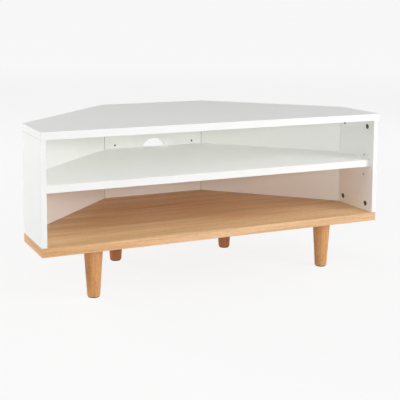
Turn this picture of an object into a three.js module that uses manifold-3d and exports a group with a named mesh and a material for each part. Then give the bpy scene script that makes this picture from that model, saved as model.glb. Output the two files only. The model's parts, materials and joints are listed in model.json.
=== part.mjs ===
// Corner TV cabinet: an open cabinet for a room corner, with one loose shelf on pegs and four turned legs.
// Millimetres. +X is to the right, +Y towards the corner of the room, +Z up.
// The origin is on the floor, under the middle of the cabinet's outline.

import * as THREE from 'three';
import { mergeVertices } from 'three/addons/utils/BufferGeometryUtils.js';
import Module from 'manifold-3d';

const wasm = await Module();
wasm.setup();

// Plan of the body: front, two short sides, two rear walls that turn in, and the back
const cabinetWidth = 1100;
const sideLength = 195;
const backWidth = 375;
const rearWallAngle = THREE.MathUtils.degToRad(45);

// Boards
const wallHeight = 300;
const boardThickness = 15;
const topThickness = 22;
const topOverhang = 5;
const baseThickness = 25;
const shelfThickness = 22;

// Gaps between neighbours
const seatGap = 0.3;
const boreGap = 0.3;
const mitreGap = 1;
const shelfEndGap = 1;
const shelfRearGap = 1.5;
const cutOverrun = 1;

// Shelf and its pegs
const shelfSetback = 17;
const pegHoleSpacing = 32;
const pegHoleRows = 3;
const pegHoleDiameter = 5;
const pegHoleDepth = 10;
const pegFromFront = 50;
const pegFromBackCorner = 43.5;
const pegLength = 8.5;
const pegFlangeDiameter = 8;
const pegFlangeThickness = 0.5;
const pegTongueLength = 12;
const pegTongueWidth = 6;
const pegTongueThickness = 2.5;
const pegTongueDrop = 1.2;

// Cable hole in the back
const cableHoleDiameter = 92;
const cableHoleHeight = 153;

// Cam locks and their bolts, in the side panels
const camDiameter = 15;
const camBoardBehind = 2.4;
const camFromBoardEnd = 24;
const camFromFront = 37;
const camFromRearCorner = 30;
const camCrossLength = 8;
const camCrossWidth = 1.6;
const camCrossDepth = 2;
const camBoltThreadDiameter = 6;
const camBoltThreadLength = 11;
const camBoltCollarDiameter = 7.4;
const camBoltCollarLength = 3;
const camBoltShankDiameter = 5;
const camBoltNeckDiameter = 3.6;
const camBoltNeckLength = 4;
const camBoltHeadDiameter = 6.4;
const camBoltHeadLength = 4.5;

// Dowels between the walls and the two large boards
const dowelDiameter = 8;
const dowelLength = 30;
const dowelInWall = 20;
const dowelChamfer = 0.8;
const dowelFromWallEnd = 75;

// Legs, glides and the bolts that hold the legs
const legHeight = 147;
const legTopDiameter = 56;
const legFootDiameter = 37.6;
const legFootRounding = 2.5;
const frontLegFromSide = 166;
const frontLegFromFront = 60;
const rearLegFromMiddle = 199;
const rearLegFromBack = 170;
const glideDiameter = 32.6;
const glideThickness = 2.6;
const glidePinDiameter = 5;
const glidePinLength = 12;
const hangerBoltDiameter = 8;
const hangerBoltInLeg = 36;
const hangerBoltInBase = 14;
const hangerBoltTipDiameter = 4;
const hangerBoltTipLength = 5;
const insertDiameter = 12;
const insertLength = 17;
const insertFlangeDiameter = 16;
const insertFlangeThickness = 1.2;

// Sides of the round pieces
const legSides = 32;
const cableHoleSides = 64;
const camSides = 20;
const smallSides = 12;

// Places that follow from the sizes above
const sideX = cabinetWidth / 2;
const backX = backWidth / 2;
const bodyDepth = sideLength + (sideX - backX) * Math.tan(rearWallAngle);
const baseBottom = legHeight;
const wallBottom = baseBottom + baseThickness;
const wallTop = wallBottom + wallHeight;
const middleY = (bodyDepth - topOverhang) / 2;
const pegRowHeight = wallBottom + wallHeight / 2;
const shelfBottom = pegRowHeight - pegTongueDrop + seatGap;

// Colours and finishes
const whiteBoard = new THREE.MeshStandardMaterial({ color: 0xf4f4f1, roughness: 0.45, metalness: 0 });
const oakBoard = new THREE.MeshStandardMaterial({ color: 0xc8965f, roughness: 0.5, metalness: 0 });
const solidOak = new THREE.MeshStandardMaterial({ color: 0xc08a52, roughness: 0.5, metalness: 0 });
const beech = new THREE.MeshStandardMaterial({ color: 0xd8b88a, roughness: 0.7, metalness: 0 });
const zinc = new THREE.MeshStandardMaterial({ color: 0x75716a, roughness: 0.4, metalness: 0.9 });
const steel = new THREE.MeshStandardMaterial({ color: 0xa8a8a6, roughness: 0.35, metalness: 1 });
const darkPlastic = new THREE.MeshStandardMaterial({ color: 0x3a2c22, roughness: 0.7, metalness: 0 });

// A closed geometry as a solid that can be cut and joined. Triangles that shrink to a line are left out.
function toSolid(geometry) {
  const bare = geometry.clone();
  bare.deleteAttribute('normal');
  bare.deleteAttribute('uv');
  const merged = mergeVertices(bare);
  const triangles = [];
  for (let i = 0; i < merged.index.count; i += 3) {
    const corners = [merged.index.getX(i), merged.index.getX(i + 1), merged.index.getX(i + 2)];
    if (new Set(corners).size === corners.length) {
      triangles.push(...corners);
    }
  }
  const vertProperties = merged.attributes.position.array;
  const triVerts = Uint32Array.from(triangles);
  return new wasm.Manifold(new wasm.Mesh({ numProp: 3, vertProperties, triVerts }));
}

// A solid as a geometry again.
function toGeometry(solid) {
  const mesh = solid.getMesh();
  const geometry = new THREE.BufferGeometry();
  geometry.setAttribute('position', new THREE.BufferAttribute(mesh.vertProperties, 3));
  geometry.setIndex(new THREE.BufferAttribute(mesh.triVerts, 1));
  geometry.computeVertexNormals();
  return geometry;
}

// The geometry with each of the tools cut out of it.
function cutBy(geometry, tools) {
  const cut = tools.reduce((solid, tool) => solid.subtract(toSolid(tool)), toSolid(geometry));
  return toGeometry(cut);
}

// The geometries joined into one.
function joined(geometries) {
  const whole = geometries.map(toSolid).reduce((solid, next) => solid.add(next));
  return toGeometry(whole);
}

// A straight round rod between two points.
function rod(start, end, diameter, sides = smallSides) {
  const along = new THREE.Vector3().subVectors(end, start);
  const geometry = new THREE.CylinderGeometry(diameter / 2, diameter / 2, along.length(), sides);
  const turn = new THREE.Quaternion().setFromUnitVectors(new THREE.Vector3(0, 1, 0), along.normalize());
  geometry.applyQuaternion(turn);
  const middle = new THREE.Vector3().addVectors(start, end).multiplyScalar(0.5);
  return geometry.translate(middle.x, middle.y, middle.z);
}

// A turned piece that stands along +Z, from its profile of radii and heights.
function turned(profile, sides) {
  const points = profile.map(([radius, height]) => new THREE.Vector2(radius, height));
  return new THREE.LatheGeometry(points, sides).rotateX(Math.PI / 2);
}

// A flat board with the plan's corners, from one height to another.
function board(corners, bottom, top) {
  const shape = new THREE.Shape(corners);
  const geometry = new THREE.ExtrudeGeometry(shape, { depth: top - bottom, bevelEnabled: false });
  return geometry.translate(0, 0, bottom);
}

const at = (plan, height) => new THREE.Vector3(plan.x, plan.y, height);
const point = (x, y) => new THREE.Vector2(x, y);

// The body's outer corners, from the front left round the back to the front right
const outerCorners = [
  point(-sideX, 0),
  point(-sideX, sideLength),
  point(-backX, bodyDepth),
  point(backX, bodyDepth),
  point(sideX, sideLength),
  point(sideX, 0),
];

const wallNames = ['left_side_panel', 'left_rear_panel', 'back_panel', 'right_rear_panel', 'right_side_panel'];

// Each wall's own directions: along it and into the cabinet.
const walls = wallNames.map((name, i) => {
  const start = outerCorners[i];
  const end = outerCorners[i + 1];
  const along = end.clone().sub(start).normalize();
  const inward = point(along.y, -along.x);
  return { name, start, end, along, inward, length: start.distanceTo(end) };
});

const [leftSide, leftRear, back, rightRear, rightSide] = walls;
const sideWalls = { left: leftSide, right: rightSide };

// The point where two neighbouring walls' faces meet, at a depth inside the outer corner.
function cornerInside(wallBefore, wallAfter, depth) {
  const reach = depth / (1 + wallBefore.inward.dot(wallAfter.inward));
  const diagonal = wallBefore.inward.clone().add(wallAfter.inward);
  return wallAfter.start.clone().addScaledVector(diagonal, reach);
}

// A wall's plan: square at the open front, mitred where it meets the next wall.
function wallPlan(i) {
  const wall = walls[i];
  const mitreTrim = mitreGap / 2 / Math.cos(rearWallAngle / 2);
  const first = i === 0;
  const last = i === walls.length - 1;
  const startTrim = first ? 0 : mitreTrim;
  const endTrim = last ? 0 : mitreTrim;
  const squareStart = wall.start.clone().addScaledVector(wall.inward, boardThickness);
  const squareEnd = wall.end.clone().addScaledVector(wall.inward, boardThickness);
  const innerStart = first ? squareStart : cornerInside(walls[i - 1], wall, boardThickness);
  const innerEnd = last ? squareEnd : cornerInside(wall, walls[i + 1], boardThickness);
  return [
    wall.start.clone().addScaledVector(wall.along, startTrim),
    wall.end.clone().addScaledVector(wall.along, -endTrim),
    innerEnd.addScaledVector(wall.along, -endTrim),
    innerStart.addScaledVector(wall.along, startTrim),
  ];
}

// The two ends of the walls, where the fixings sit: the board there and the way into it.
const wallEnds = [
  { name: 'top', height: wallTop, intoBoard: 1 },
  { name: 'bottom', height: wallBottom, intoBoard: -1 },
];

// The cam locks' places along each side panel, measured from the front, and the dowel's between them
const camPlaces = [
  { name: 'front', fromFront: camFromFront },
  { name: 'rear', fromFront: sideLength - camFromRearCorner },
];
const sideDowelFromFront = (camPlaces[0].fromFront + camPlaces[1].fromFront) / 2;

// A point halfway through a side panel.
function middleOfSide(side, fromFront) {
  const wall = sideWalls[side];
  const inset = boardThickness / 2;
  return point(wall.start.x + wall.inward.x * inset, fromFront);
}

// A point halfway through any wall, measured along it.
function middleOfWall(wall, along) {
  return wall.start.clone().addScaledVector(wall.along, along).addScaledVector(wall.inward, boardThickness / 2);
}

// Every cam fixing: which side panel, where along it, and at which end
const camFixings = Object.keys(sideWalls).flatMap((side) =>
  camPlaces.flatMap((place) =>
    wallEnds.map((end) => ({
      name: `${side}_${place.name}_${end.name}`,
      wall: sideWalls[side],
      plan: middleOfSide(side, place.fromFront),
      end,
    })),
  ),
);

// Where the dowels stand in plan: one in each side panel between its cam locks, two in each rear wall
const dowelPlaces = [
  { name: 'left_side', wall: leftSide, plan: middleOfSide('left', sideDowelFromFront) },
  { name: 'right_side', wall: rightSide, plan: middleOfSide('right', sideDowelFromFront) },
  ...[
    ['left_rear', leftRear],
    ['back', back],
    ['right_rear', rightRear],
  ].flatMap(([name, wall]) => [
    { name: `${name}_near_left`, wall, plan: middleOfWall(wall, dowelFromWallEnd) },
    { name: `${name}_near_right`, wall, plan: middleOfWall(wall, wall.length - dowelFromWallEnd) },
  ]),
];

const dowelFixings = dowelPlaces.flatMap((place) =>
  wallEnds.map((end) => ({ ...place, name: `${place.name}_${end.name}`, end })),
);

// The columns of peg holes: on the inner face of each side panel and twice on the back panel
const backPegX = backX - pegFromBackCorner;
const pegColumns = [
  { name: 'left', wall: leftSide, face: point(-sideX + boardThickness, pegFromFront) },
  { name: 'right', wall: rightSide, face: point(sideX - boardThickness, pegFromFront) },
  { name: 'back_left', wall: back, face: point(-backPegX, bodyDepth - boardThickness) },
  { name: 'back_right', wall: back, face: point(backPegX, bodyDepth - boardThickness) },
];

// Heights of the peg holes, the middle one half way up the opening.
function pegHoleHeights() {
  const middleRow = (pegHoleRows - 1) / 2;
  return Array.from({ length: pegHoleRows }, (_, row) => pegRowHeight + (row - middleRow) * pegHoleSpacing);
}

const legPlaces = [
  { name: 'front_left', x: -(sideX - frontLegFromSide), y: frontLegFromFront },
  { name: 'front_right', x: sideX - frontLegFromSide, y: frontLegFromFront },
  { name: 'rear_left', x: -rearLegFromMiddle, y: bodyDepth - rearLegFromBack },
  { name: 'rear_right', x: rearLegFromMiddle, y: bodyDepth - rearLegFromBack },
];

// Bores

const loose = (diameter) => diameter + 2 * boreGap;

// A bore that starts at a wall's end and runs up or down: positive depth into the board, negative into the wall.
function boreAtEnd(fixing, diameter, depth) {
  const inwards = Math.sign(depth) * fixing.end.intoBoard;
  const mouth = fixing.end.height - inwards * cutOverrun;
  const bottom = fixing.end.height + inwards * Math.abs(depth);
  return rod(at(fixing.plan, mouth), at(fixing.plan, bottom), diameter);
}

// A bore that starts on a wall's inner face.
function boreInFace(wall, face, height, diameter, depth, sides) {
  const mouth = face.clone().addScaledVector(wall.inward, cutOverrun);
  const bottom = face.clone().addScaledVector(wall.inward, -depth);
  return rod(at(mouth, height), at(bottom, height), diameter, sides);
}

const camHeight = (fixing) => fixing.end.height - fixing.end.intoBoard * camFromBoardEnd;
const camBoreDepth = boardThickness - camBoardBehind;

// The cam's bore in the side panel's face and the bolt's bore from the panel's end to it.
function camBores(fixing) {
  const face = fixing.plan.clone().addScaledVector(fixing.wall.inward, boardThickness / 2);
  const camBore = boreInFace(fixing.wall, face, camHeight(fixing), loose(camDiameter), camBoreDepth, camSides);
  const boltBore = boreAtEnd(fixing, loose(camBoltCollarDiameter), -camFromBoardEnd);
  return [camBore, boltBore];
}

const dowelBoreInWall = (fixing) => boreAtEnd(fixing, loose(dowelDiameter), -(dowelInWall + boreGap));

function pegBores(column) {
  return pegHoleHeights().map((height) =>
    boreInFace(column.wall, column.face, height, loose(pegHoleDiameter), pegHoleDepth),
  );
}

// The bores that the top and the base need at one end of the walls.
function boardBores(endName) {
  const inBoard = dowelLength - dowelInWall + boreGap;
  const forDowels = dowelFixings
    .filter((fixing) => fixing.end.name === endName)
    .map((fixing) => boreAtEnd(fixing, loose(dowelDiameter), inBoard));
  const forBolts = camFixings
    .filter((fixing) => fixing.end.name === endName)
    .map((fixing) => boreAtEnd(fixing, loose(camBoltThreadDiameter), camBoltThreadLength + boreGap));
  return [...forDowels, ...forBolts];
}

// The two stepped bores for one leg's insert, from below.
function insertBores(leg) {
  const place = point(leg.x, leg.y);
  const mouth = at(place, baseBottom - cutOverrun);
  return [
    rod(mouth, at(place, baseBottom + insertLength + boreGap), loose(insertDiameter)),
    rod(mouth, at(place, baseBottom + insertFlangeThickness + boreGap), loose(insertFlangeDiameter)),
  ];
}

// Boards

function topPanel() {
  const corners = outerCorners.map((corner) => corner.clone());
  corners.at(0).y = -topOverhang;
  corners.at(-1).y = -topOverhang;
  return cutBy(board(corners, wallTop, wallTop + topThickness), boardBores('top'));
}

function basePanel() {
  const plain = board(outerCorners, baseBottom, wallBottom);
  return cutBy(plain, [...boardBores('bottom'), ...legPlaces.flatMap(insertBores)]);
}

// The round hole through the back panel.
function cableHole() {
  const height = wallBottom + cableHoleHeight;
  const outside = point(0, bodyDepth + cutOverrun);
  const inside = point(0, bodyDepth - boardThickness - cutOverrun);
  return rod(at(outside, height), at(inside, height), cableHoleDiameter, cableHoleSides);
}

function wallPanel(wall, i) {
  const plain = board(wallPlan(i), wallBottom + seatGap, wallTop - seatGap);
  const bores = [
    ...camFixings.filter((fixing) => fixing.wall === wall).flatMap(camBores),
    ...dowelFixings.filter((fixing) => fixing.wall === wall).map(dowelBoreInWall),
    ...pegColumns.filter((column) => column.wall === wall).flatMap(pegBores),
  ];
  if (wall === back) {
    bores.push(cableHole());
  }
  return cutBy(plain, bores);
}

// The shelf follows the walls' inner faces, with a gap to each.
function shelf() {
  const endDepth = boardThickness + shelfEndGap;
  const rearDepth = boardThickness + shelfRearGap;
  const endX = sideX - endDepth;
  const rearLeft = cornerInside(leftRear, back, rearDepth);
  const rearRight = cornerInside(back, rightRear, rearDepth);
  const endRearY = rearLeft.y - (endX + rearLeft.x) * Math.tan(rearWallAngle);
  const corners = [
    point(-endX, shelfSetback),
    point(-endX, endRearY),
    rearLeft,
    rearRight,
    point(endX, endRearY),
    point(endX, shelfSetback),
  ];
  return board(corners, shelfBottom, shelfBottom + shelfThickness);
}

// Fixings

// A dowel with chamfered ends, standing across the joint between a wall and a board.
function dowel(fixing) {
  const radius = dowelDiameter / 2;
  const tip = radius - dowelChamfer;
  const profile = [
    [0, 0],
    [tip, 0],
    [radius, dowelChamfer],
    [radius, dowelLength - dowelChamfer],
    [tip, dowelLength],
    [0, dowelLength],
  ];
  const lowerPart = fixing.end.intoBoard > 0 ? dowelInWall : dowelLength - dowelInWall;
  return turned(profile, smallSides).translate(fixing.plan.x, fixing.plan.y, fixing.end.height - lowerPart);
}

// The bolt that a cam lock grips: thread in the board, then collar, shank, neck and round head in the wall.
function camBolt(fixing) {
  const headEnd = camFromBoardEnd + camBoltHeadLength / 2;
  const headStart = headEnd - camBoltHeadLength;
  const neckStart = headStart - camBoltNeckLength;
  const profile = [
    [0, -headEnd],
    [camBoltHeadDiameter / 2, -headEnd],
    [camBoltHeadDiameter / 2, -headStart],
    [camBoltNeckDiameter / 2, -headStart],
    [camBoltNeckDiameter / 2, -neckStart],
    [camBoltShankDiameter / 2, -neckStart],
    [camBoltShankDiameter / 2, -camBoltCollarLength],
    [camBoltCollarDiameter / 2, -camBoltCollarLength],
    [camBoltCollarDiameter / 2, -seatGap],
    [camBoltThreadDiameter / 2, -seatGap],
    [camBoltThreadDiameter / 2, camBoltThreadLength],
    [0, camBoltThreadLength],
  ];
  const geometry = turned(profile, smallSides);
  if (fixing.end.intoBoard < 0) {
    geometry.rotateX(Math.PI);
  }
  return geometry.translate(fixing.plan.x, fixing.plan.y, fixing.end.height);
}

// A cam lock: a disc with a pocket for the bolt's head and a cross for the screwdriver.
function camLock(fixing) {
  const { wall, plan, end } = fixing;
  const height = camHeight(fixing);
  const thickness = camBoreDepth - 2 * seatGap;
  const front = plan.clone().addScaledVector(wall.inward, boardThickness / 2 - seatGap);
  const rear = front.clone().addScaledVector(wall.inward, -thickness);
  const disc = rod(at(front, height), at(rear, height), camDiameter, camSides);
  const pocketDiameter = loose(camBoltHeadDiameter);
  const pocketMouth = height + end.intoBoard * (camDiameter / 2 + cutOverrun);
  const pocketBottom = height - end.intoBoard * (camBoltHeadLength / 2 + boreGap);
  const pocket = rod(at(plan, pocketMouth), at(plan, pocketBottom), pocketDiameter);
  const crossArms = [0, Math.PI / 2].map((turn) => {
    const arm = new THREE.BoxGeometry(2 * camCrossDepth, camCrossLength, camCrossWidth);
    return arm.rotateX(turn).translate(front.x, front.y, height);
  });
  return cutBy(disc, [pocket, ...crossArms]);
}

// A shelf peg: pin in the wall, thin flange on its face and a flat tongue under the shelf.
function shelfPeg(column) {
  const { wall, face } = column;
  const pinEnd = face.clone().addScaledVector(wall.inward, -pegLength);
  const flangeFront = face.clone().addScaledVector(wall.inward, pegFlangeThickness + seatGap / 2);
  const flangeBack = face.clone().addScaledVector(wall.inward, seatGap / 2);
  const pin = rod(at(pinEnd, pegRowHeight), at(flangeFront, pegRowHeight), pegHoleDiameter);
  const flange = rod(at(flangeBack, pegRowHeight), at(flangeFront, pegRowHeight), pegFlangeDiameter);
  const tongue = new THREE.BoxGeometry(pegTongueLength, pegTongueWidth, pegTongueThickness);
  const tongueMiddle = flangeBack.clone().addScaledVector(wall.inward, pegTongueLength / 2);
  tongue.rotateZ(wall.inward.angle());
  tongue.translate(tongueMiddle.x, tongueMiddle.y, pegRowHeight - pegTongueDrop - pegTongueThickness / 2);
  return joined([pin, flange, tongue]);
}

// Legs

// A turned leg, bored at the top for its hanger bolt and below for the glide's pin.
function leg(place) {
  const footRadius = legFootDiameter / 2;
  const bottom = glideThickness + seatGap;
  const top = baseBottom - seatGap;
  const profile = [
    [0, bottom],
    [footRadius - legFootRounding, bottom],
    [footRadius, bottom + legFootRounding],
    [legTopDiameter / 2, top],
    [0, top],
  ];
  const axis = point(0, 0);
  const boltBore = rod(
    at(axis, top + cutOverrun),
    at(axis, baseBottom - hangerBoltInLeg - boreGap),
    loose(hangerBoltDiameter),
  );
  const pinBore = rod(
    at(axis, bottom - cutOverrun),
    at(axis, glideThickness + glidePinLength + boreGap),
    loose(glidePinDiameter),
  );
  return cutBy(turned(profile, legSides), [boltBore, pinBore]).translate(place.x, place.y, 0);
}

// A glide: a low disc with a pin that is pressed into the leg's end.
function glide(place) {
  const profile = [
    [0, 0],
    [glideDiameter / 2, 0],
    [glideDiameter / 2, glideThickness],
    [glidePinDiameter / 2, glideThickness],
    [glidePinDiameter / 2, glideThickness + glidePinLength],
    [0, glideThickness + glidePinLength],
  ];
  return turned(profile, legSides).translate(place.x, place.y, 0);
}

// A hanger bolt: pointed wood thread in the leg, machine thread in the base.
function hangerBolt(place) {
  const radius = hangerBoltDiameter / 2;
  const bottom = baseBottom - hangerBoltInLeg;
  const top = baseBottom + hangerBoltInBase;
  const profile = [
    [0, bottom],
    [hangerBoltTipDiameter / 2, bottom],
    [radius, bottom + hangerBoltTipLength],
    [radius, top],
    [0, top],
  ];
  return turned(profile, smallSides).translate(place.x, place.y, 0);
}

// A threaded insert: a sleeve in the base with a flange flush with its underside.
function threadedInsert(place) {
  const boreRadius = loose(hangerBoltDiameter) / 2;
  const bottom = baseBottom;
  const flangeTop = bottom + insertFlangeThickness;
  const top = bottom + insertLength;
  const profile = [
    [boreRadius, bottom],
    [insertFlangeDiameter / 2, bottom],
    [insertFlangeDiameter / 2, flangeTop],
    [insertDiameter / 2, flangeTop],
    [insertDiameter / 2, top],
    [boreRadius, top],
    [boreRadius, bottom],
  ];
  return turned(profile, smallSides).translate(place.x, place.y, 0);
}

// The cabinet

const cabinet = new THREE.Group();
cabinet.name = 'corner_tv_cabinet';
cabinet.position.y = -middleY;

function addPiece(name, geometry, material) {
  const piece = new THREE.Mesh(geometry, material);
  piece.name = name;
  cabinet.add(piece);
}

addPiece('top_panel', topPanel(), whiteBoard);
addPiece('base_panel', basePanel(), oakBoard);
walls.forEach((wall, i) => addPiece(wall.name, wallPanel(wall, i), whiteBoard));
addPiece('shelf', shelf(), whiteBoard);
camFixings.forEach((fixing) => {
  addPiece(`cam_lock_${fixing.name}`, camLock(fixing), zinc);
  addPiece(`cam_bolt_${fixing.name}`, camBolt(fixing), steel);
});
dowelFixings.forEach((fixing) => addPiece(`dowel_${fixing.name}`, dowel(fixing), beech));
pegColumns.forEach((column) => addPiece(`shelf_peg_${column.name}`, shelfPeg(column), steel));
legPlaces.forEach((place) => {
  addPiece(`leg_${place.name}`, leg(place), solidOak);
  addPiece(`glide_${place.name}`, glide(place), darkPlastic);
  addPiece(`hanger_bolt_${place.name}`, hangerBolt(place), steel);
  addPiece(`threaded_insert_${place.name}`, threadedInsert(place), steel);
});

export default cabinet;
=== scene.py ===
# Corner TV cabinet: white boards over an oak base, one loose shelf on pegs and four turned oak legs.
# Metres. +X is to the right, +Y towards the corner of the room, +Z up. The floor is at height zero.

import json
import math

import bmesh
import bpy
from mathutils import Matrix, Vector


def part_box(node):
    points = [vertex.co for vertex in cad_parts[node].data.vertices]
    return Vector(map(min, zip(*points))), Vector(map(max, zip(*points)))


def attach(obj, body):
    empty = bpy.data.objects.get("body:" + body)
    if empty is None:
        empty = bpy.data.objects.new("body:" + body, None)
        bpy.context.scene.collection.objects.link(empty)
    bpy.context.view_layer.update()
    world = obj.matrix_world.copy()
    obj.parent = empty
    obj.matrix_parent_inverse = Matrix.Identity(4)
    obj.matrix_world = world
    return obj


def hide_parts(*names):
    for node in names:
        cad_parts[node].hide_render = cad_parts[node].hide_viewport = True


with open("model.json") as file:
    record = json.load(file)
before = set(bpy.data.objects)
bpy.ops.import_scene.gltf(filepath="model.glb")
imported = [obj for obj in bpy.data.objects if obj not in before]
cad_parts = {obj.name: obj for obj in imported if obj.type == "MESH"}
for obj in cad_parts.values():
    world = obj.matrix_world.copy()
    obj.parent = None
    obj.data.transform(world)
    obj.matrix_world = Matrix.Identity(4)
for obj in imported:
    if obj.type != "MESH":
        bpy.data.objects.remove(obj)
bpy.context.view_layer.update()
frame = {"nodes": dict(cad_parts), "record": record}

# Camera, fitted to the photograph. Pixels count in its frame of 400 by 400.
IMAGE_PIXELS = 400
FOCAL_LENGTH_PIXELS = 910.4
OPTICAL_AXIS_ROW_PIXELS = 110
SENSOR_WIDTH_MM = 36
CAMERA_PLACE = Vector((-1.1888, -2.6425, 0.8454))
CAMERA_TURN = math.radians(25.143)
CAMERA_TILT = math.radians(6.813)
CAMERA_ROLL = math.radians(0.385)

# Stage
FLOOR_SIZE = 60
BACKDROP_GREY = 0.93
FLOOR_BOUNCE_GREY = 0.65
FLOOR_SHADE_GREY = 0.13
FLOOR_GLOW_GREY_NEAR = 0.845
FLOOR_GLOW_GREY_FAR = 0.925
FLOOR_NEAR = 1.5
FLOOR_FAR = 9

# Light. White bays pass it on many times, more than the four bounces that are usual.
LIGHT_BOUNCES = 32
AMBIENT_STRENGTH = 0.07

# Points that the lamps aim at
BAYS = (0.0, 0.1, 0.35)
UPPER_BAY = (0.0, 0.0, 0.4)
BODY = (0.0, 0.0, 0.3)

# Lamps: name, place, point aimed at, width, height and power in watts
LAMPS = [
    ("front_light", (0.0, -4.04, 1.08), BAYS, 1.8, 0.6, 17),
    ("front_left_light", (-2.39, -3.31, 0.94), BAYS, 1.8, 0.5, 21),
    ("high_left_light", (-2.18, -3.02, 2.12), BAYS, 1.8, 1.0, 11),
    ("front_right_light", (2.66, -3.07, 1.08), BAYS, 1.8, 0.6, 47),
    ("high_right_light", (2.45, -2.82, 2.12), BAYS, 1.8, 1.0, 39),
    ("high_front_light", (0.5, -2.2, 3.6), UPPER_BAY, 1.6, 1.0, 17),
    ("left_light", (-3.1, -0.3, 2.1), BODY, 2.0, 1.4, 33),
    ("right_light", (4.0, 0.8, 1.3), BODY, 1.8, 1.4, 50),
    ("rear_light", (-2.6, 3.2, 1.6), BODY, 1.8, 1.4, 90),
]

# Edges
WELD_REACH = 0.00002
FLAT_ANGLE = math.radians(1)
SHARP_ANGLE = math.radians(40)
BOARD_ROUNDING = 0.0008
ROUNDING_STEPS = 3

# Cable hole, shelf pegs and their holes
CABLE_HOLE_DIAMETER = 0.092
PEG_HOLE_DIAMETER = 0.0056
PEG_HOLE_DEPTH = 0.0103
PEG_HOLE_SPACING = 0.032
PEG_DIAMETER = 0.005
PEG_LENGTH = 0.0085
PEG_FLANGE_DIAMETER = 0.008
PEG_FLANGE_THICKNESS = 0.0005
PEG_FLANGE_GAP = 0.00015
PEG_TONGUE_LENGTH = 0.012
PEG_TONGUE_WIDTH = 0.006
PEG_TONGUE_THICKNESS = 0.0025
PEG_TONGUE_DROP = 0.0012
PEG_TONGUE_ROUNDING = 0.0025

# Cam locks and their bolts
CAM_DIAMETER = 0.015
CAM_FROM_WALL_END = 0.024
CAM_RIM_WIDTH = 0.0013
CAM_FACE_DEPTH = 0.0005
CAM_CROSS_LENGTH = 0.008
CAM_CROSS_WIDTH = 0.0016
CAM_CROSS_DEPTH = 0.0020
CAM_CROSS_TAPER_SHARE = 0.6
CAM_POCKET_DIAMETER = 0.007
CAM_BOLT_THREAD_DIAMETER = 0.006
CAM_BOLT_THREAD_LENGTH = 0.011
CAM_BOLT_THREAD_PITCH = 0.0020
CAM_BOLT_THREAD_DEPTH = 0.0008
CAM_BOLT_COLLAR_DIAMETER = 0.0074
CAM_BOLT_COLLAR_LENGTH = 0.003
CAM_BOLT_SHANK_DIAMETER = 0.005
CAM_BOLT_NECK_DIAMETER = 0.0036
CAM_BOLT_NECK_LENGTH = 0.004
CAM_BOLT_HEAD_DIAMETER = 0.0064
CAM_BOLT_HEAD_LENGTH = 0.0045
SEAT_GAP = 0.0003

# Dowels
DOWEL_DIAMETER = 0.008
DOWEL_CHAMFER = 0.0008
DOWEL_FLUTES = 18
SIDES_PER_FLUTE = 6
DOWEL_FLUTE_DEPTH = 0.0003

# Legs, glides, hanger bolts and threaded inserts
LEG_FOOT_DIAMETER = 0.0376
LEG_FOOT_ROUNDING = 0.0018
TURN_BETWEEN_LEGS = math.radians(137.5)
GLIDE_THICKNESS = 0.0026
GLIDE_ROUNDING = 0.0008
GLIDE_PIN_DIAMETER = 0.005
GLIDE_PIN_BORE = 0.0056
GLIDE_PIN_BORE_DEPTH = 0.0120
HANGER_BOLT_DIAMETER = 0.008
HANGER_BOLT_BORE = 0.0086
HANGER_BOLT_BORE_DEPTH = 0.036
HANGER_BOLT_TIP_DIAMETER = 0.004
HANGER_BOLT_TIP_LENGTH = 0.005
WOOD_THREAD_LENGTH = 0.029
WOOD_THREAD_PITCH = 0.0030
WOOD_THREAD_DEPTH = 0.0010
MACHINE_THREAD_LENGTH = 0.014
MACHINE_THREAD_PITCH = 0.00125
MACHINE_THREAD_DEPTH = 0.0006
INSERT_DIAMETER = 0.012
INSERT_FLANGE_DIAMETER = 0.016
INSERT_FLANGE_THICKNESS = 0.0012
INSERT_THREAD_PITCH = 0.0030
INSERT_THREAD_DEPTH = 0.0011

# How finely small and turned things are made
LEG_SIDES = 96
SMALL_SIDES = 48
THREAD_SIDES = 24
RINGS_PER_PITCH = 6
CORNER_STEPS = 5
HAIR_ROUNDING = 0.0003

# Worn edges: the wear's reach, and the likeness of rounded and true normal where it ends and where it's full
EDGE_REACH = 0.0012
SMALL_EDGE_REACH = 0.0004
EDGE_SAMPLES = 6
UNWORN_LIKENESS = 0.995
WORN_LIKENESS = 0.8

# White lacquer: its blotches, relief and gloss
CLOUDS = dict(sizes=(0.25, 0.25, 0.25), detail=4)
SMUDGES = dict(sizes=(0.05, 0.05, 0.05), detail=5, roughness=0.6)
PEEL = dict(sizes=(0.0022, 0.0022, 0.0022), detail=2)
PEEL_DEPTH = 0.000012
LACQUER_SPECULAR = 0.4
LACQUER_ROUGHNESS = 0.75
LACQUER_ROUGHNESS_RANGE = (0.7, 0.8)
SMUDGE_RANGE = (0.3, 0.7)
RUBBED_SMUDGE_RANGE = (0.4, 0.65)
RUBBED_WHITE_SHARE = 0.5

# Raw board: its chips, and the shares of a normal that tell a wall's sawn ends and its foot. The foot's raw
# board is painted shade, a dark line along the base
CHIPS = dict(sizes=(0.0012, 0.0012, 0.0012), detail=3)
CHIP_RANGE = (0.35, 0.65)
RAW_BOARD_ROUGHNESS = 0.9
END_FACE_SHARE = 0.5
BACK_END_FACE_SHARE = 0.9
FOOT_SHADE_SHARE = 0.15

# The way that the right rear wall faces. The left one mirrors it.
REAR_WALL_AXIS = (math.sqrt(0.5), math.sqrt(0.5), 0)

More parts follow.
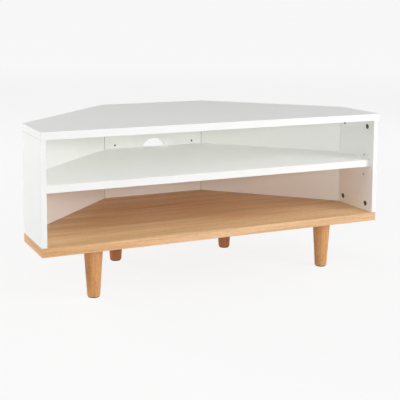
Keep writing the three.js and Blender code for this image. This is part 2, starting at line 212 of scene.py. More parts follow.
# Wood: sizes along its fibres and twice across them, shares in its shade, and ranges in which they show
DRIFT = dict(sizes=(0.45, 0.10, 0.10), detail=1)
DRIFT_REACH = 0.014
FIGURE = dict(sizes=(0.60, 0.045, 0.045), detail=2, distortion=0.4)
STREAKS = dict(sizes=(0.28, 0.0055, 0.0055), detail=4, roughness=0.6)
FIBRES = dict(sizes=(0.045, 0.0009, 0.0009), detail=2)
PORES = dict(sizes=(0.012, 0.0005, 0.0005), detail=1)
FLECKS = dict(sizes=(0.008, 0.0022, 0.0022), detail=2)
TINTS = dict(sizes=(0.30, 0.04, 0.04), detail=1)
FIGURE_SHARE = 0.35
STREAK_SHARE = 0.42
FIBRE_SHARE = 0.23
PORE_SHARE = 0.35
RUBBED_WOOD_SHARE = 0.35
SHADE_RANGE = (0.38, 0.62)
FLECK_RANGE = (0.57, 0.70)
PORE_RANGE = (0.58, 0.70)
GRAIN_DEPTH = 0.00004
WOOD_SPECULAR = 0.35
WOOD_ROUGHNESS_MORE = 0.06
WOOD_ROUGHNESS_LESS = 0.04

# The base board: where its painted light and shade begin and end, on its top and on its edge bands, and the
# lean at which a face becomes an edge band
BOARD_PAINTED_LIGHT_FRONT_Y = -0.205
BOARD_PAINTED_SHADE_REAR_Y = -0.065
EDGE_PAINTED_SHADE_LEFT_X = -0.45
EDGE_PAINTED_LIGHT_RIGHT_X = -0.12
EDGE_BAND_LEAN = math.radians(45)

# Turned wood: how far its pith lies from its axis, along X and Y
PITH_PLACE = (0.055, 0.021)

# Metal and plastic
MOTTLE_DETAIL = 4
MOTTLE_ROUGHNESS = 0.6
MOTTLE_TONE_RANGE = (0.35, 0.65)
MOTTLE_GLOSS_RANGE = (0.3, 0.7)
FINE_GRAIN_DETAIL = 2
ROUGHNESS_SPREAD = 0.06
RUBBED_METAL_SHARE = 0.6

# Colours
WHITE_TONES = ((0.936, 0.938, 0.925), (0.946, 0.947, 0.936))
RUBBED_WHITE = (0.86, 0.855, 0.84)
# Raw board, also painted as shade on the walls' rounded lower edges
RAW_BOARD_AND_SHADE_TONES = ((0.13, 0.09, 0.055), (0.23, 0.165, 0.105))
BOARD_OAK_TONES = ((0.60, 0.377, 0.180), (0.78, 0.540, 0.292), (0.87, 0.648, 0.390))
# Painted light and shade on the base board's top: lighter along the front, darker and redder behind
BOARD_PAINTED_SHADE = (0.885, 0.835, 0.85)
BOARD_PAINTED_LIGHT = (1.11, 1.105, 1.12)
# Painted light and shade on the base board's edge bands: darker and warmer at the left, lighter at the right
EDGE_BAND_PAINTED_SHADE = (1.00, 0.82, 0.71)
EDGE_BAND_PAINTED_LIGHT = (1.08, 0.98, 1.01)
LEG_OAK_TONES = ((0.52, 0.230, 0.080), (0.72, 0.360, 0.142), (0.85, 0.465, 0.215))
# Rear legs: the same oak darker and redder, painted shade from the body above them
SHADED_REAR_LEG_OAK_TONES = ((0.40, 0.132, 0.042), (0.55, 0.205, 0.076), (0.66, 0.268, 0.113))
BEECH_TONES = ((0.60, 0.40, 0.21), (0.69, 0.48, 0.26), (0.76, 0.56, 0.33))
OAK_PORE = (0.30, 0.15, 0.06)
OAK_FLECK = (0.42, 0.15, 0.045)
BEECH_PORE = (0.45, 0.25, 0.11)
BEECH_FLECK = (0.52, 0.30, 0.13)
WARM_AND_COOL_TINTS = ((1.03, 0.975, 0.94), (0.97, 1.02, 1.04))
ZINC_TONES = ((0.08, 0.070, 0.058), (0.12, 0.107, 0.090), (0.17, 0.155, 0.135))
STEEL_TONES = ((0.33, 0.33, 0.32), (0.42, 0.42, 0.41), (0.52, 0.52, 0.51))
PLASTIC_TONES = ((0.025, 0.016, 0.010), (0.040, 0.025, 0.016), (0.060, 0.040, 0.027))

# What else sets the finishes apart
BOARD_OAK = dict(pore_tone=OAK_PORE, fleck_tone=OAK_FLECK, roughness=0.5, fleck_share=0.3)
LEG_OAK = dict(pore_tone=OAK_PORE, fleck_tone=OAK_FLECK, roughness=0.45, fleck_share=0.6)
BEECH = dict(pore_tone=BEECH_PORE, fleck_tone=BEECH_FLECK, roughness=0.7, fleck_share=0.3)
ZINC = dict(roughness=0.45, metallic=0.9, mottle_size=0.003, grain_size=0.0003, grain_depth=0.00002)
STEEL = dict(roughness=0.35, metallic=1, mottle_size=0.004, grain_size=0.0002, grain_depth=0.00001)
PLASTIC = dict(roughness=0.7, metallic=0, mottle_size=0.002, grain_size=0.0002, grain_depth=0.00003)


# Shading

class Shader:
    """A node material with one Principled surface, and short calls for what the finishes have in common."""

    def __init__(self, name, roughness, metallic=0, specular=0.5):
        self.material = bpy.data.materials.new(name)
        self.material.use_nodes = True
        self.nodes = self.material.node_tree.nodes
        self.links = self.material.node_tree.links
        self.surface = self.nodes["Principled BSDF"]
        self.surface.inputs["Roughness"].default_value = roughness
        self.surface.inputs["Metallic"].default_value = metallic
        self.surface.inputs["Specular IOR Level"].default_value = specular

    def add(self, kind, **settings):
        node = self.nodes.new(kind)
        for key, value in settings.items():
            setattr(node, key, value)
        return node

    def put(self, socket, value):
        """Links a socket to the input, or writes a plain value into it."""
        if isinstance(value, bpy.types.NodeSocket):
            self.links.new(value, socket)
        else:
            socket.default_value = value

    def maths(self, operation, *values):
        node = self.add("ShaderNodeMath", operation=operation)
        for socket, value in zip(node.inputs, values):
            self.put(socket, value)
        return node.outputs["Value"]

    def vector_maths(self, operation, *values):
        node = self.add("ShaderNodeVectorMath", operation=operation)
        for socket, value in zip(node.inputs, values):
            self.put(socket, value)
        return node.outputs["Vector"]

    def dot(self, a, b):
        node = self.add("ShaderNodeVectorMath", operation="DOT_PRODUCT")
        self.put(node.inputs[0], a)
        self.put(node.inputs[1], b)
        return node.outputs["Value"]

    def length(self, *parts):
        """The length of a vector, from its parts along the axes."""
        squares = [(self.maths("MULTIPLY", part, part), 1) for part in parts]
        return self.maths("SQRT", self.weighed(*squares))

    def split(self, vector):
        node = self.add("ShaderNodeSeparateXYZ")
        self.put(node.inputs["Vector"], vector)
        return node.outputs["X"], node.outputs["Y"], node.outputs["Z"]

    def joined(self, x, y, z):
        node = self.add("ShaderNodeCombineXYZ")
        for socket, value in zip(node.inputs, (x, y, z)):
            self.put(socket, value)
        return node.outputs["Vector"]

    def place(self):
        return self.add("ShaderNodeTexCoord").outputs["Object"]

    def noise(self, vector, sizes, detail, roughness=0.5, distortion=0):
        """Noise whose blotches have the given sizes along the vector's three axes."""
        scaled = self.vector_maths("DIVIDE", vector, sizes)
        node = self.add("ShaderNodeTexNoise")
        node.inputs["Scale"].default_value = 1
        node.inputs["Detail"].default_value = detail
        node.inputs["Roughness"].default_value = roughness
        node.inputs["Distortion"].default_value = distortion
        self.put(node.inputs["Vector"], scaled)
        return node.outputs["Fac"]

    def remap(self, value, low, high, to_low=0, to_high=1):
        """Stretches the range from low to high over the new range, and clips what lies outside it."""
        node = self.add("ShaderNodeMapRange", clamp=True)
        limits = {"From Min": low, "From Max": high, "To Min": to_low, "To Max": to_high}
        for name, number in limits.items():
            node.inputs[name].default_value = number
        self.put(node.inputs["Value"], value)
        return node.outputs["Result"]

    def mix(self, share, a, b):
        node = self.add("ShaderNodeMix", data_type="RGBA")
        self.put(node.inputs["Factor"], share)
        self.put(node.inputs["A"], colour(a))
        self.put(node.inputs["B"], colour(b))
        return node.outputs["Result"]

    def choose(self, share, a, b):
        """Plain numbers mixed: a where the share is 0, b where it is 1."""
        node = self.add("ShaderNodeMix", data_type="FLOAT")
        self.put(node.inputs["Factor"], share)
        self.put(node.inputs["A"], a)
        self.put(node.inputs["B"], b)
        return node.outputs["Result"]

    def weighed(self, *parts):
        """The sum of several values, each given with its weight."""
        total = 0
        for value, weight in parts:
            total = self.maths("MULTIPLY_ADD", value, weight, total)
        return total

    def ramp(self, value, *tones):
        """Colours spread evenly over the range from 0 to 1."""
        node = self.add("ShaderNodeValToRGB")
        marks = node.color_ramp.elements
        marks[0].color = colour(tones[0])
        marks[-1].color = colour(tones[-1])
        for i in range(1, len(tones) - 1):
            marks.new(i / (len(tones) - 1)).color = colour(tones[i])
        self.put(node.inputs["Fac"], value)
        return node.outputs["Color"]

    def bump(self, height, depth):
        node = self.add("ShaderNodeBump")
        node.inputs["Distance"].default_value = depth
        self.put(node.inputs["Height"], height)
        return node.outputs["Normal"]

    def set(self, **inputs):
        """Sets the surface's inputs by name, an underscore standing for each space."""
        for name, value in inputs.items():
            self.put(self.surface.inputs[name.replace("_", " ")], value)


def colour(value):
    """A colour of three numbers with its alpha added. Sockets pass through."""
    return (*value, 1) if isinstance(value, tuple) and len(value) == 3 else value


def edge_mask(shader, reach):
    """1 along the edges of a solid, falling to 0 on its flat faces."""
    rounded = shader.add("ShaderNodeBevel", samples=EDGE_SAMPLES)
    rounded.inputs["Radius"].default_value = reach
    flat = shader.add("ShaderNodeNewGeometry").outputs["Normal"]
    likeness = shader.dot(rounded.outputs["Normal"], flat)
    return shader.remap(likeness, UNWORN_LIKENESS, WORN_LIKENESS)


def white_lacquer(name, raw_and_shaded_places=()):
    """White board: satin lacquer with a fine orange peel, dulled edges, and raw board in its holes and on
    its sawn ends. Raw board on a wall's rounded lower edge is painted shade along the base.
    """
    shader = Shader(name, roughness=LACQUER_ROUGHNESS, specular=LACQUER_SPECULAR)
    place = shader.place()
    clouds = shader.noise(place, **CLOUDS)
    smudges = shader.noise(place, **SMUDGES)
    peel = shader.noise(place, **PEEL)
    chips = shader.noise(place, **CHIPS)
    tone = shader.mix(clouds, *WHITE_TONES)
    worn = shader.remap(smudges, *RUBBED_SMUDGE_RANGE, 0, RUBBED_WHITE_SHARE)
    rubbed = shader.maths("MULTIPLY", edge_mask(shader, EDGE_REACH), worn)
    tone = shader.mix(rubbed, tone, RUBBED_WHITE)
    gloss = shader.remap(smudges, *SMUDGE_RANGE, *LACQUER_ROUGHNESS_RANGE)
    raw_board_or_shade = shader.ramp(shader.remap(chips, *CHIP_RANGE), *RAW_BOARD_AND_SHADE_TONES)
    for raw_or_shade_mask in raw_and_shaded_places:
        raw_or_shaded = raw_or_shade_mask(shader, place)
        # Raw board in holes and on sawn ends, and painted shade on the walls' rounded lower edges
        tone = shader.mix(raw_or_shaded, tone, raw_board_or_shade)
        gloss = shader.choose(raw_or_shaded, gloss, RAW_BOARD_ROUGHNESS)
    shader.set(Base_Color=tone, Roughness=gloss, Normal=shader.bump(peel, PEEL_DEPTH))
    return shader.material


def all_of(shader, *shares):
    """The product of several shares: 1 only where each of them is 1."""
    product = shares[0]
    for share in shares[1:]:
        product = shader.maths("MULTIPLY", product, share)
    return product


def peg_holes(shader, depth, sideways, height):
    """1 on the walls of a column of peg holes, given how deep and how far sideways a point lies."""
    from_middle = shader.maths("SUBTRACT", height, peg_row_height())
    from_hole = shader.maths("WRAP", from_middle, PEG_HOLE_SPACING / 2, -PEG_HOLE_SPACING / 2)
    distance = shader.length(sideways, from_hole)
    return all_of(
        shader,
        shader.maths("LESS_THAN", distance, PEG_HOLE_DIAMETER / 2 + HAIR_ROUNDING),
        shader.maths("GREATER_THAN", depth, HAIR_ROUNDING),
        shader.maths("LESS_THAN", depth, PEG_HOLE_DEPTH + HAIR_ROUNDING),
    )


def side_peg_holes(shader, place):
    """The peg holes of both side panels, which mirror each other."""
    x, y, z = shader.split(place)
    depth = shader.maths("SUBTRACT", shader.maths("ABSOLUTE", x), box_of("right_side_panel")[0].x)
    sideways = shader.maths("SUBTRACT", y, middle_of("shelf_peg_right").y)
    return peg_holes(shader, depth, sideways, z)


def back_peg_holes(shader, place):
    """The two columns of peg holes in the back panel."""
    x, y, z = shader.split(place)
    depth = shader.maths("SUBTRACT", y, box_of("back_panel")[0].y)
    sideways = shader.maths("SUBTRACT", shader.maths("ABSOLUTE", x), middle_of("shelf_peg_back_right").x)
    return peg_holes(shader, depth, sideways, z)


def face_normal(shader, place):
    """The surface's normal, mirrored so that left and right walls read alike."""
    x, y, z = shader.split(shader.add("ShaderNodeTexCoord").outputs["Normal"])
    side = shader.maths("SIGN", shader.split(place)[0])
    return shader.maths("MULTIPLY", x, side), y, z


def off_axis(shader, normal, axis, limit=END_FACE_SHARE):
    """1 where the normal lies across the axis rather than along it."""
    along = shader.weighed(*((part, share) for part, share in zip(normal, axis) if share))
    return shader.maths("LESS_THAN", shader.maths("ABSOLUTE", along), limit)


def with_foot_shade(shader, normal, ends):
    """The ends of a wall, and painted shade: its rounded lower edge painted as dark raw board, a shaded line
    along the base.
    """
    return shader.maths("MAXIMUM", ends, shader.maths("LESS_THAN", normal[2], -FOOT_SHADE_SHARE))


def side_panel_ends_and_foot_shade(shader, place):
    """The sawn upper and lower ends of a side panel, and painted shade along its foot. Its front and rear
    edges are lacquered.
    """
    normal = face_normal(shader, place)
    ends = all_of(shader, off_axis(shader, normal, (1, 0, 0)), off_axis(shader, normal, (0, 1, 0)))
    return with_foot_shade(shader, normal, ends)


def rear_panel_ends_and_foot_shade(shader, place):
    """The sawn ends of a rear panel at 45 degrees, and painted shade along its foot. Its edge at the side
    panel is lacquered.
    """
    normal = face_normal(shader, place)
    not_front = shader.maths("GREATER_THAN", normal[1], -END_FACE_SHARE)
    ends = all_of(shader, off_axis(shader, normal, REAR_WALL_AXIS), not_front)
    return with_foot_shade(shader, normal, ends)


def back_panel_ends_and_foot_shade(shader, place):
    """The sawn ends of the back panel, and painted shade along its foot. Its cable hole, near the panel's
    middle, is lacquered.
    """
    normal = face_normal(shader, place)
    ends = with_foot_shade(shader, normal, off_axis(shader, normal, (0, 1, 0), BACK_END_FACE_SHARE))
    x, _, z = shader.split(place)
    from_middle = shader.length(x, shader.maths("SUBTRACT", z, middle_of("back_panel").z))
    return all_of(shader, ends, shader.maths("GREATER_THAN", from_middle, CABLE_HOLE_DIAMETER))


def board_grain(shader):
    """Grain along X on the broad faces and along the edge on the edge bands, with painted light and shade:
    the top lighter near the front and darker and redder behind, the edge bands darker and warmer at the left
    and lighter at the right.
    """
    coordinates = shader.add("ShaderNodeTexCoord")
    place, normal = coordinates.outputs["Object"], coordinates.outputs["Normal"]
    x, y, z = shader.split(place)
    upright = shader.maths("ABSOLUTE", shader.split(normal)[2])
    on_edge = shader.maths("LESS_THAN", upright, math.cos(EDGE_BAND_LEAN))
    edge_run = shader.vector_maths("CROSS_PRODUCT", (0, 0, 1), normal)
    along = shader.choose(on_edge, x, shader.dot(place, edge_run))
    across = shader.choose(on_edge, y, z)
    depth = shader.choose(on_edge, z, shader.dot(place, normal))
    drift = shader.noise(shader.joined(along, across, depth), **DRIFT)
    wavy = shader.maths("MULTIPLY_ADD", drift, DRIFT_REACH, across)
    figure_place = shader.joined(along, wavy, depth)
    # Painted light and shade: the top lighter along the front, darker and redder towards the rear
    towards_painted_shade = shader.remap(wavy, BOARD_PAINTED_LIGHT_FRONT_Y, BOARD_PAINTED_SHADE_REAR_Y)
    # Painted light and shade on the edge bands: darker and warmer at the left, lighter at the right
    towards_painted_light = shader.remap(x, EDGE_PAINTED_SHADE_LEFT_X, EDGE_PAINTED_LIGHT_RIGHT_X)
    board_light_and_shade = shader.mix(towards_painted_shade, BOARD_PAINTED_LIGHT, BOARD_PAINTED_SHADE)
    edge_light_and_shade = shader.mix(towards_painted_light, EDGE_BAND_PAINTED_SHADE, EDGE_BAND_PAINTED_LIGHT)
    return figure_place, figure_place, shader.mix(on_edge, board_light_and_shade, edge_light_and_shade)


def turned_grain(shader):
    """Upright grain in a turned piece, its growth rings round a pith that lies outside it."""
    place = shader.place()
    x, y, z = shader.split(place)
    from_pith = shader.length(
        shader.maths("SUBTRACT", x, PITH_PLACE[0]),
        shader.maths("SUBTRACT", y, PITH_PLACE[1]),
    )
    drift = shader.noise(shader.joined(z, x, y), **DRIFT)
    ring = shader.maths("MULTIPLY_ADD", drift, DRIFT_REACH, from_pith)
    return shader.joined(z, ring, 0), shader.joined(z, x, y), (1, 1, 1)


def wood(name, grain, tones, pore_tone, fleck_tone, roughness, fleck_share):
    """Sawn wood with a satin finish: broad figure, streaks, flecks, fibres and pores along the grain."""
    shader = Shader(name, roughness=roughness, specular=WOOD_SPECULAR)
    figure_place, fibre_place, painted_light_tint = grain(shader)
    figure = shader.noise(figure_place, **FIGURE)
    streaks = shader.noise(figure_place, **STREAKS)
    fibres = shader.noise(fibre_place, **FIBRES)
    flecks = shader.remap(shader.noise(fibre_place, **FLECKS), *FLECK_RANGE)
    pores = shader.remap(shader.noise(fibre_place, **PORES), *PORE_RANGE)
    shade = shader.weighed((figure, FIGURE_SHARE), (streaks, STREAK_SHARE), (fibres, FIBRE_SHARE))
    tone = shader.ramp(shader.remap(shade, *SHADE_RANGE), *tones)
    tint = shader.ramp(shader.noise(figure_place, **TINTS), *WARM_AND_COOL_TINTS)
    # A grain may bring a tint of painted light and shade: the base board's does, turned wood's is plain
    tone = shader.vector_maths("MULTIPLY", tone, shader.vector_maths("MULTIPLY", tint, painted_light_tint))
    tone = shader.mix(shader.maths("MULTIPLY", flecks, fleck_share), tone, fleck_tone)
    tone = shader.mix(shader.maths("MULTIPLY", pores, PORE_SHARE), tone, pore_tone)
    rubbed = shader.maths("MULTIPLY", edge_mask(shader, EDGE_REACH), RUBBED_WOOD_SHARE)
    tone = shader.mix(rubbed, tone, tones[-1])
    gloss = shader.remap(
        shade, *SHADE_RANGE, roughness + WOOD_ROUGHNESS_MORE, roughness - WOOD_ROUGHNESS_LESS
    )
    relief = shader.bump(shader.maths("SUBTRACT", fibres, pores), GRAIN_DEPTH)
    shader.set(Base_Color=tone, Roughness=gloss, Normal=relief)
    return shader.material


def mottled(name, tones, roughness, metallic, mottle_size, grain_size, grain_depth):
    """Metal or plastic: mottled, finely grained and rubbed brighter along its edges."""
    shader = Shader(name, roughness=roughness, metallic=metallic)
    place = shader.place()
    mottle = shader.noise(place, [mottle_size] * 3, MOTTLE_DETAIL, MOTTLE_ROUGHNESS)
    grain = shader.noise(place, [grain_size] * 3, FINE_GRAIN_DETAIL)
    tone = shader.ramp(shader.remap(mottle, *MOTTLE_TONE_RANGE), *tones)
    rubbed = shader.maths("MULTIPLY", edge_mask(shader, SMALL_EDGE_REACH), RUBBED_METAL_SHARE)
    tone = shader.mix(rubbed, tone, tones[-1])
    gloss = shader.remap(
        mottle, *MOTTLE_GLOSS_RANGE, roughness - ROUGHNESS_SPREAD, roughness + ROUGHNESS_SPREAD
    )
    shader.set(Base_Color=tone, Roughness=gloss, Normal=shader.bump(grain, grain_depth))
    return shader.material


# The camera

def add_camera():
    data = bpy.data.cameras.new("camera")
    data.sensor_width = SENSOR_WIDTH_MM
    data.lens = FOCAL_LENGTH_PIXELS * SENSOR_WIDTH_MM / IMAGE_PIXELS
    data.shift_y = (OPTICAL_AXIS_ROW_PIXELS - IMAGE_PIXELS / 2) / IMAGE_PIXELS
    camera = bpy.data.objects.new("camera", data)
    bpy.context.scene.collection.objects.link(camera)
    forward = Vector((
        math.sin(CAMERA_TURN) * math.cos(CAMERA_TILT),
        math.cos(CAMERA_TURN) * math.cos(CAMERA_TILT),
        -math.sin(CAMERA_TILT),
    ))
    level_right = Vector((math.cos(CAMERA_TURN), -math.sin(CAMERA_TURN), 0))
    level_up = level_right.cross(forward)
    right = level_right * math.cos(CAMERA_ROLL) + level_up * math.sin(CAMERA_ROLL)
    up = right.cross(forward)
    camera.matrix_world = Matrix.LocRotScale(
        CAMERA_PLACE, Matrix((right, up, -forward)).transposed().to_quaternion(), None
    )
    bpy.context.scene.camera = camera


# The stage and the lamps

def seen_rays(nodes, links):
    """1 for the rays that show the background itself: camera, mirror and glass rays."""
    path = nodes.new("ShaderNodeLightPath")
    seen = path.outputs["Is Camera Ray"]
    for name in ("Is Glossy Ray", "Is Transmission Ray"):
        either = nodes.new("ShaderNodeMath")
        either.operation = "MAXIMUM"
        links.new(seen, either.inputs[0])
        links.new(path.outputs[name], either.inputs[1])
        seen = either.outputs["Value"]
    return seen


def grey(level):
    return (level, level, level, 1)


def add_world():
    world = bpy.data.worlds.new("world")
    world.use_nodes = True
    bpy.context.scene.world = world
    nodes, links = world.node_tree.nodes, world.node_tree.links
    ambient = nodes["Background"]
    ambient.inputs["Color"].default_value = grey(1)
    ambient.inputs["Strength"].default_value = AMBIENT_STRENGTH
    backdrop = nodes.new("ShaderNodeBackground")
    backdrop.inputs["Color"].default_value = grey(BACKDROP_GREY)
    both = nodes.new("ShaderNodeMixShader")
    links.new(seen_rays(nodes, links), both.inputs["Fac"])
    links.new(ambient.outputs["Background"], both.inputs[1])
    links.new(backdrop.outputs["Background"], both.inputs[2])
    links.new(both.outputs["Shader"], nodes["World Output"].inputs["Surface"])


def floor_material():
    """Pale floor: a little of its grey is lit, so that the object's shadow shows, and the rest is even."""
    shader = Shader("pale_floor", roughness=1, specular=0)
    seen = seen_rays(shader.nodes, shader.links)
    distance = shader.length(*shader.split(shader.place()))
    fade = shader.remap(distance, FLOOR_NEAR, FLOOR_FAR)
    shader.set(
        Base_Color=shader.mix(seen, grey(FLOOR_BOUNCE_GREY), grey(FLOOR_SHADE_GREY)),
        Emission_Color=shader.mix(fade, grey(FLOOR_GLOW_GREY_NEAR), grey(FLOOR_GLOW_GREY_FAR)),
        Emission_Strength=seen,
    )
    return shader.material


def add_floor():
    mesh = bpy.data.meshes.new("floor")
    reach = FLOOR_SIZE / 2
    corners = [(-reach, -reach, 0), (reach, -reach, 0), (reach, reach, 0), (-reach, reach, 0)]
    mesh.from_pydata(corners, [], [tuple(range(len(corners)))])
    mesh.materials.append(floor_material())
    floor = bpy.data.objects.new("floor", mesh)
    bpy.context.scene.collection.objects.link(floor)


def add_lamp(name, place, aim, width, height, power):
    data = bpy.data.lights.new(name, "AREA")
    data.shape = "RECTANGLE"
    data.size = width
    data.size_y = height
    data.energy = power
    lamp = bpy.data.objects.new(name, data)
    lamp.location = place
    lamp.rotation_euler = (Vector(aim) - Vector(place)).to_track_quat("-Z", "Y").to_euler()
    lamp.visible_camera = False
    bpy.context.scene.collection.objects.link(lamp)


# Places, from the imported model

def box_of(node):
    low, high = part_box(node)
    return Vector(low), Vector(high)


def middle_of(node):
    low, high = box_of(node)
    return (low + high) / 2


def peg_row_height():
    return middle_of("left_side_panel").z


# Shapes

def softened(corners):
    """An outline with rounded corners, from the corners' two coordinates and their rounding."""
    points = [Vector(corner[:2]) for corner in corners]
    outline = []
    for i, (here, corner) in enumerate(zip(points, corners)):
        rounding = corner[2] if len(corner) > 2 else 0
        if not rounding:
            outline.append(here)
            continue
        before = (points[i - 1] - here).normalized() * rounding
        after = (points[(i + 1) % len(points)] - here).normalized() * rounding
        for step in range(CORNER_STEPS + 1):
            share = step / CORNER_STEPS
            outline.append(here + before * (1 - share) ** 2 + after * share ** 2)
    return outline


def turned(outline, sides, sculpt=None):
    """A turned solid round Z from pairs of radius and height. Sculpt may change a point's radius."""
    solid = bmesh.new()
    rings = []
    closed = tuple(outline[0]) == tuple(outline[-1])
    for radius, height in outline[:-1] if closed else outline:
        ring = []
        for i in range(sides if radius else 1):
            turn = i * math.tau / sides
            reach = sculpt(radius, height, turn) if sculpt else radius
            ring.append(solid.verts.new((reach * math.cos(turn), reach * math.sin(turn), height)))
        rings.append(ring)
    if closed:
        rings.append(rings[0])
    for low, high in zip(rings, rings[1:]):
        for i in range(sides):
            corners = [low[i % len(low)], low[(i + 1) % len(low)]]
            corners += [high[(i + 1) % len(high)], high[i % len(high)]]
            solid.faces.new(dict.fromkeys(corners))
    bmesh.ops.recalc_face_normals(solid, faces=solid.faces)
    return solid


def slab(outline, bottom, top):
    """A flat outline in Y and Z, made solid along X."""
    solid = bmesh.new()
    lower = [solid.verts.new((bottom, y, z)) for y, z in outline]
    upper = [solid.verts.new((top, y, z)) for y, z in outline]
    solid.faces.new(lower)
    solid.faces.new(upper)
    for i in range(len(outline)):
        solid.faces.new((lower[i - 1], lower[i], upper[i], upper[i - 1]))
    bmesh.ops.recalc_face_normals(solid, faces=solid.faces)
    return solid


def tapered_cross(length, width, depth):
    """A cross round the Z axis, as high above height 0 as deep below it, where it is smaller."""
    solid = bmesh.new()
    rings = []
    for height, share in ((depth, 1), (-depth, CAM_CROSS_TAPER_SHARE)):
        reach, half = length / 2 * share, width / 2 * share
        ring = []
        for quarter in range(4):
            turn = Matrix.Rotation(quarter * math.pi / 2, 3, "Z")
            for x, y in ((reach, -half), (reach, half), (half, half)):
                ring.append(solid.verts.new(turn @ Vector((x, y, height))))
        rings.append(ring)
    for ring in rings:
        solid.faces.new(ring)
    for i in range(len(ring)):
        solid.faces.new((rings[0][i - 1], rings[0][i], rings[1][i], rings[1][i - 1]))
    bmesh.ops.recalc_face_normals(solid, faces=solid.faces)
    return solid


def stretch(radius, start, end, pitch):
    """Closely spaced rings of one radius, for a thread."""
    count = round((end - start) / (pitch / RINGS_PER_PITCH))
    return [(radius, start + (end - start) * i / count) for i in range(count + 1)]


def spiral(radius, start, end, pitch, depth):
    """A thread between two heights, cut only into points of the given radius."""
    def sculpt(reach, height, turn):
        if abs(reach - radius) > WELD_REACH or not start <= height <= end:
            return reach
        share = (height / pitch - turn / math.tau) % 1
        run_out = min(1, (height - start) / pitch, (end - height) / pitch)
        return reach - depth * abs(2 * share - 1) * run_out
    return sculpt


def to_object(name, solid, finish):
    mesh = bpy.data.meshes.new(name)
    solid.to_mesh(mesh)
    solid.free()
    mesh.shade_smooth()
    mesh.set_sharp_from_angle(angle=SHARP_ANGLE)
    mesh.materials.append(finish)
    piece = bpy.data.objects.new(name, mesh)
    bpy.context.scene.collection.objects.link(piece)
    return piece


def carve(piece, tools, operation):
    """Cuts the tools out of the piece, or joins them to it, removes them and tidies the flat faces."""
    for tool in tools:
        change = piece.modifiers.new(tool.name, "BOOLEAN")
        change.operation = operation
        change.solver = "EXACT"
        change.object = tool
    scene_now = bpy.context.evaluated_depsgraph_get()
    mesh = bpy.data.meshes.new_from_object(piece.evaluated_get(scene_now))
    piece.modifiers.clear()
    piece.data = mesh
    for tool in tools:
        bpy.data.objects.remove(tool)
    solid = bmesh.new()
    solid.from_mesh(mesh)
    bmesh.ops.dissolve_limit(solid, angle_limit=FLAT_ANGLE, verts=solid.verts, edges=solid.edges)
    bmesh.ops.triangulate(solid, faces=solid.faces)
    bmesh.ops.dissolve_degenerate(solid, dist=WELD_REACH / 2, edges=solid.edges)
    solid.to_mesh(mesh)
    solid.free()
    mesh.set_sharp_from_angle(angle=SHARP_ANGLE)


def put_in_place(piece, node, matrix):
    """Sets a detailed piece where its CAD node is, with the node's body, and hides the node."""
    piece.matrix_world = matrix
    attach(piece, body_of[node])
    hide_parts(node)


def upright(node, height):
    """The matrix that moves Z to the node's axis, and height 0 to the given height."""
    middle = middle_of(node)
    return Matrix.Translation((middle.x, middle.y, height))


def facing(front, up, place):
    """The matrix that turns Z to the front and X up, and moves to the place."""
    axes = Matrix((up, front.cross(up), front)).transposed().to_4x4()
    return Matrix.Translation(place) @ axes


# Pieces in more detail than their CAD nodes

def make_leg(node, number):
    """A turned leg with a rounded foot, bored for its hanger bolt and its glide's pin."""
    low, high = box_of(node)
    height = high.z - low.z
    top_radius = (high.x - low.x) / 2
    outline = softened([
        (0, GLIDE_PIN_BORE_DEPTH),
        (GLIDE_PIN_BORE / 2, GLIDE_PIN_BORE_DEPTH),
        (GLIDE_PIN_BORE / 2, 0, HAIR_ROUNDING),
        (LEG_FOOT_DIAMETER / 2, 0, LEG_FOOT_ROUNDING),
        (top_radius, height, 2 * HAIR_ROUNDING),
        (HANGER_BOLT_BORE / 2, height, HAIR_ROUNDING),
        (HANGER_BOLT_BORE / 2, height - HANGER_BOLT_BORE_DEPTH),
        (0, height - HANGER_BOLT_BORE_DEPTH),
    ])
    # The rear legs take a darker, redder copy of the oak: painted shade
    finish = finishes["shaded_rear_leg_oak" if "rear" in node else "solid_oak"]
    piece = to_object("detailed_" + node, turned(outline, LEG_SIDES), finish)
    put_in_place(piece, node, upright(node, low.z) @ Matrix.Rotation(TURN_BETWEEN_LEGS * number, 4, "Z"))


def make_glide(node):
    """A low round disc with soft edges and a pin with a tapered tip."""
    low, high = box_of(node)
    pin_radius = GLIDE_PIN_DIAMETER / 2
    outline = softened([
        (0, 0),
        ((high.x - low.x) / 2, 0, GLIDE_ROUNDING),
        ((high.x - low.x) / 2, GLIDE_THICKNESS, HAIR_ROUNDING),
        (pin_radius, GLIDE_THICKNESS),
        (pin_radius, high.z, pin_radius / 2),
        (0, high.z),
    ])
    piece = to_object("detailed_" + node, turned(outline, LEG_SIDES), finishes["dark_plastic"])
    put_in_place(piece, node, upright(node, 0))


def make_hanger_bolt(node):
    """Pointed wood thread below, plain shank, machine thread above."""
    low, high = box_of(node)
    length = high.z - low.z
    radius = HANGER_BOLT_DIAMETER / 2
    wood_range = (HANGER_BOLT_TIP_LENGTH, WOOD_THREAD_LENGTH)
    machine_range = (length - MACHINE_THREAD_LENGTH, length)
    wood_thread = spiral(radius, *wood_range, WOOD_THREAD_PITCH, WOOD_THREAD_DEPTH)
    machine_thread = spiral(radius, *machine_range, MACHINE_THREAD_PITCH, MACHINE_THREAD_DEPTH)
    outline = [
        (0, 0),
        (HANGER_BOLT_TIP_DIAMETER / 2, 0),
        *stretch(radius, *wood_range, WOOD_THREAD_PITCH),
        *stretch(radius, *machine_range, MACHINE_THREAD_PITCH),
        (0, length),
    ]

    def sculpt(reach, height, turn):
        return machine_thread(wood_thread(reach, height, turn), height, turn)

    piece = to_object("detailed_" + node, turned(outline, THREAD_SIDES, sculpt), finishes["steel"])
    put_in_place(piece, node, upright(node, low.z))


